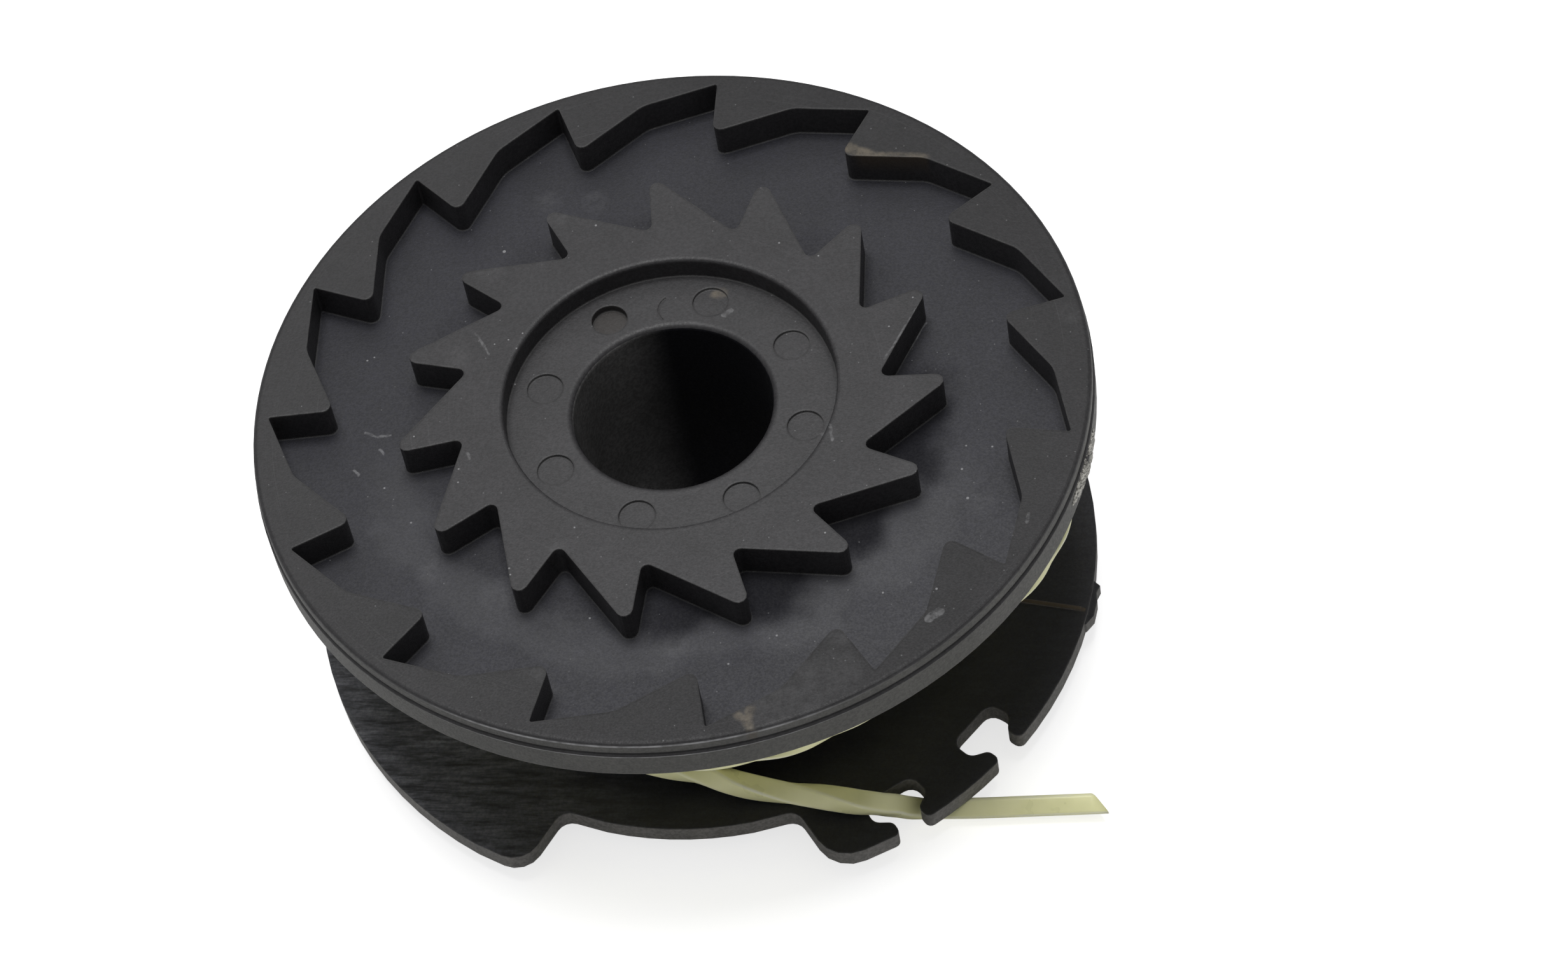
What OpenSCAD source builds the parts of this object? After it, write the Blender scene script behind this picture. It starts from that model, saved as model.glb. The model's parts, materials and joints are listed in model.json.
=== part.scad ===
// Line spool of a grass trimmer: a one-piece moulded spool, wound with a twisted nylon line.
// The origin is on the bore's axis at the lowest face of the hub, and +Z points to the
// ratchet face. Angles run anticlockwise from +X, seen from above.

/* [Flanges] */
// Outer diameter of the top flange, which carries the ratchet
top_d = 62; // [60:0.5:76]
// How much smaller the lower flange's radius is
low_inset = 1.05; // [0:0.05:1.5]
// Height from the lower flange's underside to the top face
spool_h = 22.3; // [17:0.1:30]
// Thickness of the lower flange
low_t = 1.45; // [1.2:0.05:2.5]
// Height of the top flange's outer rim
rim_h = 3.6; // [1.6:0.1:4.5]
// Rounding of the top face's outer edge
rim_round = 0.35; // [0.1:0.05:0.6]
// Depth of the witness groove round the rim
rim_groove = 0.25; // [0.1:0.05:0.4]
// Height from the witness groove to the top face
groove_drop = 1.05; // [0.8:0.05:1.4]
// Wall under the ratchet channel and the recess
web_t = 1.5; // [1:0.1:2.5]

/* [Ratchet] */
// Number of teeth on the ring and on the star
teeth = 15; // [9:1:20]
// Depth of the channel between ring and star
channel_depth = 2.8; // [1:0.1:3.5]
// Wall between the ring's roots and the rim
rim_wall = 1.2; // [0.8:0.1:2.5]
// Radial height of the ring's teeth
ring_tooth_h = 4.9; // [2:0.1:6]
// Radial drop from the ring's root to the bend of the long flank
ring_bend_drop = 1.75; // [0.5:0.05:2.5]
// Wall between the recess and the roots of the star
star_wall = 3; // [1.5:0.05:5]
// Radial height of the star's teeth
star_tooth_h = 5.75; // [2:0.05:7]
// Rounding of the tooth tips
tip_round = 0.6; // [0.2:0.05:0.8]
// Rounding of the ring's roots
ring_root_round = 0.15; // [0.1:0.05:0.6]
// Rounding of the star's roots
star_root_round = 0.5; // [0.1:0.05:0.8]

/* [Hub] */
// Diameter of the bore
bore_d = 14.8; // [8:0.1:18]
// Wall of the hub round the bore
hub_wall = 1.5; // [1:0.1:2.5]
// How far the hub stands proud below the lower flange
collar_h = 2; // [2:0.1:6]
// Rounding of the bore's upper edge
bore_round = 0.5; // [0.2:0.1:0.8]
// Chamfer of the bore's lower edge
bore_chamfer = 0.3; // [0.1:0.1:0.6]
// Diameter of the recess in the top face
recess_d = 24.6; // [20:0.2:30]
// Depth of the recess
recess_depth = 1.85; // [1:0.05:3]
// Rounding of the recess's upper edge
recess_round = 0.3; // [0.1:0.05:0.6]
// Number of ribs at the blind end of the spring pocket
rib_count = 8; // [4:1:12]
// Thickness of a rib
rib_t = 1.2; // [0.8:0.1:2]
// Height of a rib
rib_h = 5; // [2:0.5:8]
// Diameter of the round marks on the recess floor
mark_d = 2.7; // [1.5:0.1:3]
// Number of round marks
mark_count = 8; // [4:1:10]
// Depth of a round mark
mark_depth = 0.18; // [0.05:0.01:0.3]
// Depth of the one deep round mark
deep_mark_depth = 0.6; // [0.3:0.1:1.2]

/* [Drum] */
// Outer diameter of the drum that the line winds on
drum_d = 27; // [25:0.5:32]
// Wall of the drum
drum_wall = 1.5; // [1:0.1:2.5]
// Height of the line's anchor hole above the lower flange
anchor_h = 3; // [2:0.5:8]

/* [Hooks] */
// Radial depth of the two scallops in the lower flange
scallop_depth = 5.3; // [3:0.1:7]
// Half angle of a scallop at its floor
scallop_in = 20.8; // [12:0.1:24]
// Half angle of a scallop at the rim
scallop_out = 22.6; // [14:0.1:28]
// Rounding of the scallop's inner corners
scallop_fillet = 1.15; // [0.5:0.05:2]
// Rounding of the scallop's corners at the rim
lobe_round = 2.7; // [0.5:0.1:3]
// Radial depth of a line notch
notch_depth = 3.7; // [3:0.1:6]
// Width of a notch where it is widest
notch_w = 4.6; // [3:0.1:5]
// Width of a notch at its mouth
mouth_w = 2.3; // [1.8:0.1:3]
// Radial length of the neck at the mouth
neck_h = 1.15; // [0.6:0.05:2]
// Radial length of the slope between the neck and the widest part
slope_h = 0.75; // [0.6:0.05:2]
// Angle between the two notches of a pair
notch_pitch = 18.2; // [14:0.1:24]

/* [Line] */
// Diameter of the round that the twisted line fills
line_d = 1.7; // [1.2:0.1:2]
// Number of layers wound on the drum
layers = 4; // [1:1:5]

/* [Hidden] */
$fn = 96;
cut = 1;                              // how far a cutting solid runs past a face
charcoal = [0.22, 0.22, 0.23];
pale_yellow = [0.80, 0.82, 0.55];

// Heights
low_z = collar_h;                     // lower flange's underside
floor_z = low_z + low_t;              // lower flange's top face
top_z = low_z + spool_h;              // ratchet face
channel_z = top_z - channel_depth;
recess_z = top_z - recess_depth;
roof_z = channel_z - web_t;           // top flange's underside
pocket_z = recess_z - web_t;          // roof of the spring pocket

// Radii
top_r = top_d / 2;
low_r = top_r - low_inset;
bore_r = bore_d / 2;
hub_r = bore_r + hub_wall;
drum_r = drum_d / 2;
pocket_r = drum_r - drum_wall;
recess_r = recess_d / 2;
mark_out = 0.15;                      // the marks sit outside the middle of the recess floor
mark_at = (bore_r + recess_r) / 2 + mark_out;
ring_root = top_r - rim_wall;
ring_bend = ring_root - ring_bend_drop;
bend_round = 2.4;                     // rounding of the bend in a ring tooth's long flank
ring_tip = ring_root - ring_tooth_h;
star_root = recess_r + star_wall;
star_tip = star_root + star_tooth_h;
winding_r = drum_r + layers * line_d * 0.88;   // a layer sinks into the gaps of the one below

// Angles of the tooth corners, as shares of one tooth, after the real spool's
pitch = 360 / teeth;
ring_phase = 16.1;                    // a root of the ring
bend_share = 0.474;                   // from the ring's root to its bend
tip_share = 0.979;                    // from the ring's root to its tip
star_phase = 4.1;                     // a root of the star
star_share = 0.979;                   // from the star's root to its tip

// Angles of the hooks and marks
scallop_at = 270.7;
scallop_skew = -0.7;                  // the scallop's floor is turned a little against its lobes
notch_at = 305.8;
mark_phase = 79.5;
deep_mark = 124.5;
ghost_mark = [9.25, 94];              // radius and angle of the faint mark
mark_shift = [0.15, -0.1];            // the ring of marks sits a little off the bore's axis
parting_at = -10;                     // the two mould halves met on this line
anchor_at = 90;
anchor_skew = 50;                     // the anchor hole slants, so the line bends less

// ---- outlines -------------------------------------------------------------------------

function polar(r, a) = [r * cos(a), r * sin(a)];
function unit(v) = v / norm(v);

// An outline corner is [radius, angle, rounding]. It becomes an arc, or stays a point.
function arc_step(d) = d > 180 ? d - 360 : (d < -180 ? d + 360 : d);
function corner(p0, p, p1, round, n) =
  let (u = unit(p0 - p), v = unit(p1 - p), half = acos(max(-1, min(1, u * v))) / 2)
  (round <= 0 || half > 87) ? [p] :
  let (t = min(round / tan(half), 0.46 * min(norm(p0 - p), norm(p1 - p))),
       r = t * tan(half),
       c = p + unit(u + v) * r / sin(half),
       s = p + u * t - c,
       e = p + v * t - c,
       a0 = atan2(s.y, s.x),
       da = arc_step(atan2(e.y, e.x) - a0))
  [for (k = [0 : n]) c + polar(r, a0 + da * k / n)];
function rounded(spec, n = 4) =
  let (pts = [for (s = spec) polar(s[0], s[1])], m = len(pts))
  [for (i = [0 : m - 1]) each corner(pts[(i + m - 1) % m], pts[i], pts[(i + 1) % m], spec[i][2], n)];
function rim_arc(r, a0, a1) =
  let (n = max(1, ceil((a1 - a0) / 4))) [for (k = [0 : n]) [r, a0 + (a1 - a0) * k / n, 0]];
function half_angle(w, r) = asin(w / 2 / r);

// One ring tooth: root, bend of the long flank, tip, then the steep face to the next root
function ring_tooth(a) = [
  [ring_root, a, ring_root_round],
  [ring_bend, a + bend_share * pitch, bend_round],
  [ring_tip, a + tip_share * pitch, tip_round]];
function star_tooth(a) = [
  [star_root, a, star_root_round],
  [star_tip, a + star_share * pitch, tip_round]];

// One line notch, from its left tip round to its right tip
function notch(a) =
  let (low = low_r - notch_depth,
       neck = low_r - neck_h,
       shoulder = neck - slope_h,
       wide = half_angle(notch_w, shoulder),
       mouth = half_angle(mouth_w, low_r),
       hook_tip = 0.55,
       neck_round = 0.6,
       side_round = 0.8,
       end_round = 0.9)
  [[low_r, a - mouth, hook_tip], [neck, a - mouth, neck_round], [shoulder, a - wide, side_round],
   [low, a - wide, end_round], [low, a + wide, end_round],
   [shoulder, a + wide, side_round], [neck, a + mouth, neck_round], [low_r, a + mouth, hook_tip]];

// Half of the lower flange's outline: scallop, lobe, two notches with the hook between them
// and the plain rim up to the next scallop
function half_outline(turn) =
  let (s = scallop_at + turn,
       f = s + scallop_skew,
       n = notch_at + turn,
       floor_r = low_r - scallop_depth,
       bite = 8,                        // degrees that a scallop's rounded corner takes
       lip = 6)                         // degrees from a notch's middle past its rounded tip
  [[low_r, s - scallop_out, lobe_round],
   [floor_r, f - scallop_in, scallop_fillet],
   each rim_arc(floor_r, f - scallop_in + bite, f + scallop_in - bite),
   [floor_r, f + scallop_in, scallop_fillet],
   [low_r, s + scallop_out, lobe_round],
   each notch(n),
   each rim_arc(low_r, n + lip, n + notch_pitch - lip),
   each notch(n + notch_pitch),
   each rim_arc(low_r, n + notch_pitch + lip, s + 180 - scallop_out - bite)];

// ---- spool ----------------------------------------------------------------------------

// Top flange in section, from the drum out: sloping underside, rim band, groove, round edge
module top_flange() {
  edge_r = top_r - rim_groove / 2;      // the band above the groove stands back
  round_c = [edge_r - rim_round, top_z - rim_round];
  groove_z = top_z - groove_drop;
  groove_w = 0.12;
  rim_foot = top_z - rim_h;
  slope_w = 2;
  break_w = 0.2;                        // broken edges of the rim band
  rotate_extrude()
    polygon([
      [hub_r, roof_z],
      [top_r - slope_w, roof_z],
      [top_r - break_w, rim_foot],
      [top_r, rim_foot + break_w],
      [top_r, groove_z - groove_w - break_w / 2],
      [top_r - break_w / 2, groove_z - groove_w],
      [top_r - rim_groove, groove_z - groove_w / 2],
      [top_r - rim_groove, groove_z + groove_w / 2],
      [edge_r, groove_z + groove_w],
      for (a = [0 : 22.5 : 90]) round_c + polar(rim_round, a),
      [hub_r, top_z]]);
}

module tooth_channel() {
  translate([0, 0, channel_z])
    linear_extrude(channel_depth + cut)
      difference() {
        polygon(rounded([for (i = [0 : teeth - 1]) each ring_tooth(ring_phase + i * pitch)]));
        polygon(rounded([for (i = [0 : teeth - 1]) each star_tooth(star_phase + i * pitch)]));
      }
}

module lower_flange() {
  translate([0, 0, low_z])
    linear_extrude(low_t)
      polygon(rounded([each half_outline(0), each half_outline(180)]));
}

// Hub in section: chamfered foot, straight bore, rounded upper edge at the recess floor
module bore_cut() {
  rotate_extrude()
    polygon([
      [0, -cut],
      [bore_r + bore_chamfer, -cut],
      [bore_r + bore_chamfer, 0],
      [bore_r, bore_chamfer],
      [bore_r, recess_z - bore_round],
      for (a = [165 : -15 : 90])
        [bore_r + bore_round, recess_z - bore_round] + polar(bore_round, a),
      [bore_r + bore_round, top_z + cut],
      [0, top_z + cut]]);
}

module spring_pocket() {
  difference() {
    translate([0, 0, -cut])
      rotate_extrude()
        polygon([[hub_r, 0], [pocket_r, 0], [pocket_r, pocket_z + cut], [hub_r, pocket_z + cut]]);
    for (i = [0 : rib_count - 1])
      rotate(i * 360 / rib_count)
        translate([hub_r - cut, -rib_t / 2, pocket_z - rib_h])
          cube([pocket_r - hub_r + 2 * cut, rib_t, rib_h + cut]);
  }
}

// Shallow dish in the top face round the bore, with a rounded upper edge
module recess() {
  rotate_extrude()
    polygon([
      [0, recess_z],
      [recess_r, recess_z],
      for (a = [180 : -30 : 90])
        [recess_r + recess_round, top_z - recess_round] + polar(recess_round, a),
      [recess_r + recess_round, top_z + cut],
      [0, top_z + cut]]);
}

// Marks of the ejector pins, one of them deep, and the edge of a faint one beside it
module recess_marks() {
  ghost_w = 0.12;
  ghost_depth = 0.08;
  ghost_arc = 95;
  translate([mark_shift[0], mark_shift[1], 0]) {
    for (i = [0 : mark_count - 1]) {
      a = mark_phase + i * 360 / mark_count;
      depth = abs(a - deep_mark) < 180 / mark_count ? deep_mark_depth : mark_depth;
      rotate(a)
        translate([mark_at, 0, recess_z - depth])
          cylinder(d = mark_d, h = depth + cut, $fn = 48);
    }
    translate([each polar(ghost_mark[0], ghost_mark[1]), recess_z - ghost_depth])
      rotate(180 - ghost_arc / 2)
        rotate_extrude(angle = ghost_arc, $fn = 48)
          translate([mark_d / 2, 0])
            square([ghost_w, ghost_depth + cut]);
  }
}

// The slanted hole that holds the inner end of the line
module anchor_frame() {
  rotate(anchor_at)
    translate([drum_r, 0, floor_z + anchor_h])
      rotate([0, 90, anchor_skew])
        children();
}

module anchor_hole() {
  clearance = 0.4;
  anchor_frame()
    translate([0, 0, -3.5 * drum_wall])
      cylinder(d = line_d + clearance, h = 6 * drum_wall);
}

// Thin ridges, a ragged lip and a nib of flash that the joint of the mould left
flash_lip = [                           // [how far it stands proud, degrees from the ridge]
  [-0.3, 5.6], [0.02, 5.4], [0.5, 4.7], [0.32, 3.5], [0.48, 2.0], [0.5, -0.5],
  [0.1, -2.2], [-0.3, -2.4]];

module parting_marks() {
  ridge_w = 0.35;
  ridge_h = 0.12;
  lip_gap = 0.2;                        // from the lip to the flange's two faces
  nib_w = 0.5;
  nib_h = 0.7;
  nib_out = 0.2;
  nib_z = top_z - groove_drop - 1.5 * nib_h;
  for (turn = [0, 180]) {
    rotate(parting_at + turn) {
      translate([drum_r - cut / 2, -ridge_w / 2, floor_z - cut / 2])
        cube([low_r - drum_r, ridge_w, cut / 2 + ridge_h]);
      translate([0, 0, low_z + lip_gap])
        linear_extrude(low_t - 2 * lip_gap)
          polygon([for (p = flash_lip) polar(low_r + p[0], p[1])]);
      translate([top_r - nib_w, -nib_w / 2, nib_z])
        cube([nib_w + nib_out, nib_w, nib_h]);
    }
  }
}

module spool_body() {
  color(charcoal)
    difference() {
      union() {
        top_flange();
        lower_flange();
        translate([0, 0, low_z]) cylinder(r = drum_r, h = top_z - low_z - web_t);
        cylinder(r = hub_r, h = top_z);
        parting_marks();
      }
      tooth_channel();
      recess();
      recess_marks();
      spring_pocket();
      anchor_hole();
      bore_cut();
    }
}

// ---- line -----------------------------------------------------------------------------

// The turns on the drum, as one solid of their outer shape
module line_winding() {
  gap = 0.2;
  inner = drum_r + 0.05;
  low = floor_z + gap;
  high = roof_z - gap;
  soft = line_d / 2;
  color(pale_yellow)
    rotate_extrude()
      polygon([
        [inner, low],
        [winding_r - soft, low],
        [winding_r, low + soft],
        [winding_r, high - soft],
        [winding_r - soft, high],
        [inner, high]]);
}

// A tube of ring sections swept along a list of points
function along(path, i) =
  let (n = len(path)) unit(path[min(i + 1, n - 1)] - path[max(i - 1, 0)]);
function ring(p, dir, r, sides) =
  let (side = unit(cross(dir, [0, 0, 1])), up = cross(side, dir))
  [for (k = [0 : sides - 1]) p + r * (cos(360 * k / sides) * side + sin(360 * k / sides) * up)];
module tube(path, d, sides = 8) {
  n = len(path);
  points = [for (i = [0 : n - 1]) each ring(path[i], along(path, i), d / 2, sides)];
  walls = [for (i = [0 : n - 2], k = [0 : sides - 1])
    let (a = i * sides + k, b = i * sides + (k + 1) % sides) [a, a + sides, b + sides, b]];
  polyhedron(points, concat(
    [[for (k = [0 : sides - 1]) k]], walls,
    [[for (k = [sides - 1 : -1 : 0]) (n - 1) * sides + k]]), convexity = 6);
}

// A smooth curve through the route's points: each span is cut into equal steps
function spline(p0, p1, p2, p3, t) =
  0.5 * (2 * p1 + (p2 - p0) * t + (2 * p0 - 5 * p1 + 4 * p2 - p3) * t * t
         + (3 * p1 - p0 - 3 * p2 + p3) * t * t * t);
function smooth(pts, steps) =
  let (m = len(pts))
  [for (i = [0 : m - 2], k = [0 : steps - 1])
     spline(pts[max(i - 1, 0)], pts[i], pts[i + 1], pts[min(i + 2, m - 1)], k / steps),
   pts[m - 1]];

// Loose outer turn in [radius, angle, height]: it springs out from the winding under the top
// flange, goes round, and comes back to the winding on the lower flange
loose_turn = [
  [21.0, 120, 17.5], [21.5, 150, 18.2], [23.0, 180, 18.9], [25.2, 210, 19.0],
  [27.3, 240, 19.0], [28.2, 262, 19.0], [28.6, 275, 19.0], [28.85, 285, 19.0],
  [28.9, 293, 18.9], [28.5, 304, 18.8], [28.2, 316, 18.6], [28.8, 328, 18.5],
  [29.4, 337, 18.5], [29.35, 345, 18.4], [28.8, 356, 18.2], [28.5, 372, 17.8],
  [28.3, 390, 17.2], [27.6, 420, 15.9], [26.4, 450, 14.2], [25.1, 480, 12.4],
  [23.8, 510, 10.6], [22.6, 540, 9.2], [21.6, 570, 8.1], [20.9, 600, 7.3]];

// Free end in [x, y, height]: down to the lower flange, through a notch and under the hook
free_end = [
  [-5, -20.1, 6.8], [-1.6, -20.6, 6.1], [1.9, -21.0, 5.3], [4.9, -21.6, 4.7],
  [7.7, -22.0, 4.4], [10.6, -22.4, 4.4], [13.2, -22.85, 4.45], [14.5, -22.8, 4.15],
  [15.3, -22.5, 3.5], [16.0, -22.1, 2.7], [16.8, -21.75, 1.9], [17.6, -21.4, 1.2],
  [18.8, -21.25, 1.0], [21.9, -21.2, 1.0], [26.2, -21.0, 1.0], [30.6, -20.85, 1.1]];

function bent(p) = [p[0] * cos(p[1]), p[0] * sin(p[1]), p[2]];
line_route = [for (p = loose_turn) bent(p), each free_end];

module line_free_end() {
  color(pale_yellow)
    tube(smooth(line_route, 3), line_d);
}

// Inner end of the line, in the anchor hole
module line_tail() {
  tail_start = line_d * 0.8;
  tail_reach = tail_start + 2.8;
  color(pale_yellow)
    anchor_frame()
      translate([0, 0, -tail_reach])
        cylinder(d = line_d, h = tail_reach - tail_start, $fn = 24);
}

// ---- assembly -------------------------------------------------------------------------

spool_body();
line_winding();
line_free_end();
line_tail();
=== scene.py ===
"""Line spool of a grass trimmer, dressed for the camera.

The moulding keeps its CAD mesh and gets its plastic here. The line is made here as one length of
twisted square nylon: its inner end in the drum, the wound layers, the loose turn and the free end
that is clipped under the hook. All places are in metres in the part's own frame, and the patterns
of the materials are written in millimetres.
"""

import json
import math

import bpy
import numpy as np
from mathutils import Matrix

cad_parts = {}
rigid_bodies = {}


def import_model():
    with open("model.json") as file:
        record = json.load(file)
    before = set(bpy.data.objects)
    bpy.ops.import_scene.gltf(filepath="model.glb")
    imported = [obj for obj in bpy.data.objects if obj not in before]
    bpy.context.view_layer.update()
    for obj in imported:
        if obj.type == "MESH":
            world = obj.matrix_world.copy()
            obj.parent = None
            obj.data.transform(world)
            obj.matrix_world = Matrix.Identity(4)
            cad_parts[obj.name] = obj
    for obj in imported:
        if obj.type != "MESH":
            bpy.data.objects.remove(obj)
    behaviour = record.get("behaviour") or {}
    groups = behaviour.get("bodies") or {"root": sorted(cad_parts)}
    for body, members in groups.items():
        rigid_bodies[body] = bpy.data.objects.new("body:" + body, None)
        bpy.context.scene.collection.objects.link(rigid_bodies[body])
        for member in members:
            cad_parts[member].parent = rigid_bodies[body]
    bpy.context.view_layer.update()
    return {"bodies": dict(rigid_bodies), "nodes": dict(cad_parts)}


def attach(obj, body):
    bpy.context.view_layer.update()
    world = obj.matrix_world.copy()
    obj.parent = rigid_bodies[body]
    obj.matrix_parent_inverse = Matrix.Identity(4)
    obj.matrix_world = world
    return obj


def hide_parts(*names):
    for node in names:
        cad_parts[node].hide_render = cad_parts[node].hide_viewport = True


bl_info = {
    "name": "Trimmer Line Spool",
    "version": (1, 0, 0),
    "blender": (4, 5, 0),
    "location": "View3D > Sidebar > Line Spool",
    "description": "Twisted line, plastics and studio for the trimmer's line spool",
    "category": "Object",
}

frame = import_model()
BODY = next(iter(frame["bodies"]))

MM = 0.001

# Places of the spool's features, in mm, as the moulding has them
TOP_Z = 24.3
FLANGE_R = 31.0
CHANNEL_Z = 21.5
RECESS_Z = 22.45
DRUM_R = 13.5
PARTING_AT = -10.0
PARTING_FROM_R, PARTING_TO_R = 24.0, 29.6
DEEP_MARK = (-5.51, 8.14, 0.0)

# Soft steps, in mm, at which the moulding's faces begin or end: heights, then radii
TOP_ABOVE = (24.0, 24.15)
CHANNEL_BETWEEN = (21.4, 21.7)
RECESS_ABOVE = (21.55, 21.75)
UPPER_ABOVE = (21.25, 21.45)
RIM_ABOVE = (19.9, 20.1)
LOW_BELOW = (3.65, 3.75)
BORE_WITHIN = (7.55, 7.7)
RECESS_WITHIN = (12.3, 12.5)
CHANNEL_BEYOND = (13.0, 13.4)
RING_BEYOND = (22.8, 24.5)
RIM_BEYOND = (30.3, 30.6)
LOW_TOP_BEYOND = (17.0, 17.5)
LOW_WALL_BEYOND = (19.5, 20.0)
DEEP_MARK_WITHIN = (1.25, 1.40)

# Bands on the rim, in mm: heights of its groove and lip, radii and heights of its rounding
GROOVE_BETWEEN = (23.17, 23.33)
LIP_BETWEEN = (22.98, 23.10)
ROUNDING_BETWEEN = (30.84, 30.96)
ROUNDING_ABOVE = (23.95, 24.05)

# How high a level face's normal points, and the most that a wall's does
LEVEL_NORMAL = (0.75, 0.92)
WALL_NORMAL = (0.35, 0.6)

# Directions in degrees: the side of the channel nearest the camera's right, and the side of
# the bore whose wall gets painted light, with the reach towards it, in mm, over which it comes in
NEAR_RIGHT = -40.0
BORE_LIT_AT = 152.0
BORE_LIT_REACH = (4.2, 7.3)

# The anchor hole in the drum: its mouth, the way it leans, the inner end's points along it from
# the mouth, and the line's first point outside
HOLE_AT = 90.0
HOLE_Z = 6.45
HOLE_LEAN = 50.0
TAIL_POINTS = (-4.1, -2.6, -1.2, -0.2)
HOLE_EXIT = (14.1, 95.2)

# The winding: heights of its lowest and highest turns, how far one turn climbs, the first
# layer's radius and the step to the next, in mm, and in degrees where it starts and how far
# apart its points are
WIND_LOW, WIND_HIGH = 4.55, 18.9
WIND_CLIMB = 1.62
FIRST_LAYER_R = 14.40
LAYER_STEP = 1.49
WIND_START = 102.0
WIND_SPACING = 6.0
# Degrees before and after a reversal between which the radius grows, and for the last growth
GROW_BEFORE, GROW_AFTER, LAST_GROW = 50.0, 10.0, 60.0
# The last crossing over the winding: its end's angle, its least length in degrees, its end's
# height and what it lifts, in mm
CROSS_END_AT = 90.0
CROSS_LEAST = 400.0
CROSS_Z = 17.3
CROSS_LIFT = 0.15

# The loose turn as [radius, angle, height] and the free end as [x, y, height]
LOOSE_TURN = [
    [21.0, 120, 17.5], [21.5, 150, 18.2], [23.0, 180, 18.9], [25.2, 210, 19.0],
    [27.3, 240, 19.0], [28.2, 262, 19.0], [28.6, 275, 19.0], [28.85, 285, 19.0],
    [28.9, 293, 18.9], [28.5, 304, 18.8], [28.2, 316, 18.6], [28.8, 328, 18.5],
    [29.4, 337, 18.5], [29.35, 345, 18.4], [28.8, 356, 18.2], [28.5, 372, 17.8],
    [28.3, 390, 17.2], [27.6, 420, 15.9], [26.4, 450, 14.2], [25.1, 480, 12.4],
    [23.8, 510, 10.6], [22.6, 540, 9.2], [21.6, 570, 8.1], [20.9, 600, 7.3],
]
FREE_END = [
    [-5, -20.1, 6.8], [-1.6, -20.6, 6.1], [1.9, -21.0, 5.3], [4.9, -21.6, 4.7],
    [7.7, -22.0, 4.4], [10.6, -22.4, 4.4], [13.2, -22.85, 4.45], [14.5, -22.8, 4.15],
    [15.3, -22.5, 3.5], [16.0, -22.1, 2.7], [16.8, -21.75, 1.9], [17.6, -21.4, 1.2],
    [18.8, -21.25, 1.0], [21.9, -21.2, 1.0], [26.2, -21.0, 1.0], [30.6, -20.85, 1.1],
]

# How far the section has turned, in degrees, at distances in mm back from the free end: flat in
# the clipped end, one turn in about 30 mm next to it, and one in about 22 mm further back
TWIST_AT = [0.0, 12.0, 17.0, 19.6, 23.8, 28.1, 157.2, 159.8, 162.2]
TWIST_TO = [57.0, 57.0, 60.0, 100.0, 149.0, 196.0, 2281.0, 2319.0, 2360.0]
# Lean of the oblique cut at the free end, and points on each corner of the section
LINE_CUT = 0.9
CORNER_POINTS = 4

# The frayed strip of flash on the rim: its angles in degrees, and heights and wall in mm
FLASH_FROM = -17.0
FLASH_TO = -4.0
FLASH_MIDDLE = 22.1
FLASH_HALF = 1.3
FLASH_WALL = 0.08

# Wear and dirt on the ratchet face, each grain as [x, y, width], each smudge as [x, y, radius] and
# each stroke as [x, y, x, y, half width], in mm
GRAINS = [
    [-14.55, 15.7, 0.20], [-23.8, 5.3, 0.10], [-23.3, 5.6, 0.08], [-20.9, -6.6, 0.10],
    [-18.5, -9.75, 0.10], [-4.4, -18.25, 0.10], [21.5, -5.3, 0.12], [23.6, -3.3, 0.10],
    [21.7, -3.2, 0.08], [16.45, -16.15, 0.10], [9.15, -19.8, 0.10], [5.9, -22.2, 0.10],
    [22.05, -7.9, 0.16], [-7.05, 15.8, 0.12], [-12.5, 4.9, 0.07], [-13.5, 4.5, 0.07],
    [7.05, 13.8, 0.10], [15.8, 5.7, 0.08], [10.1, 12.5, 0.08], [17.4, 8.4, 0.08],
    [-18.5, -4.0, 0.08], [-14.8, -7.0, 0.08], [-14.7, -8.2, 0.08], [-5.7, -12.3, 0.08],
    [-10.05, -15.85, 0.10], [-9.9, -16.4, 0.08], [12.4, -12.9, 0.10], [20.6, -17.8, 0.12],
    [-11.5, 5.5, 0.08], [-11.8, 4.1, 0.08], [-12.0, 2.15, 0.08],
]
SMUDGES = [
    [-11.7, 20.5, 0.35], [-8.0, 20.6, 0.35], [22.9, -8.4, 0.30], [-11.4, -16.3, 0.50],
    [-6.1, -18.15, 0.50], [1.9, -20.55, 0.50], [-14.75, 11.6, 0.25], [-10.2, 16.75, 0.25],
    [14.1, -21.8, 0.25], [29.1, 6.6, 0.20], [-16.1, 3.2, 0.30], [-7.1, -24.6, 0.30],
    [-6.7, -14.3, 0.15], [17.8, -7.3, 0.25], [-16.55, -14.1, 0.20],
    [9.0, -27.5, 1.40], [11.5, -26.2, 1.60], [14.0, -24.9, 1.20],
]
SCRATCHES = [
    [-15.10, 5.59, -14.31, 4.37, 0.03], [-14.49, 4.57, -13.81, 3.57, 0.03],
    [-23.07, -1.48, -22.05, -1.88, 0.05], [-22.05, -1.88, -21.10, -1.79, 0.05],
    [15.66, 2.72, 18.14, 8.22, 0.04], [26.78, -11.32, 26.66, -12.06, 0.08],
    [20.20, -20.30, 20.90, -19.75, 0.28], [3.10, 8.45, 3.60, 8.90, 0.14],
    [10.93, -2.60, 11.49, -2.76, 0.07], [11.49, -2.76, 12.07, -3.29, 0.07],
    [12.07, -3.29, 12.36, -4.69, 0.06], [-14.35, -5.60, -14.05, -6.05, 0.04],
    [-21.70, -3.10, -21.40, -3.45, 0.07], [-23.35, -5.00, -23.05, -5.40, 0.06],
]
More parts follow.
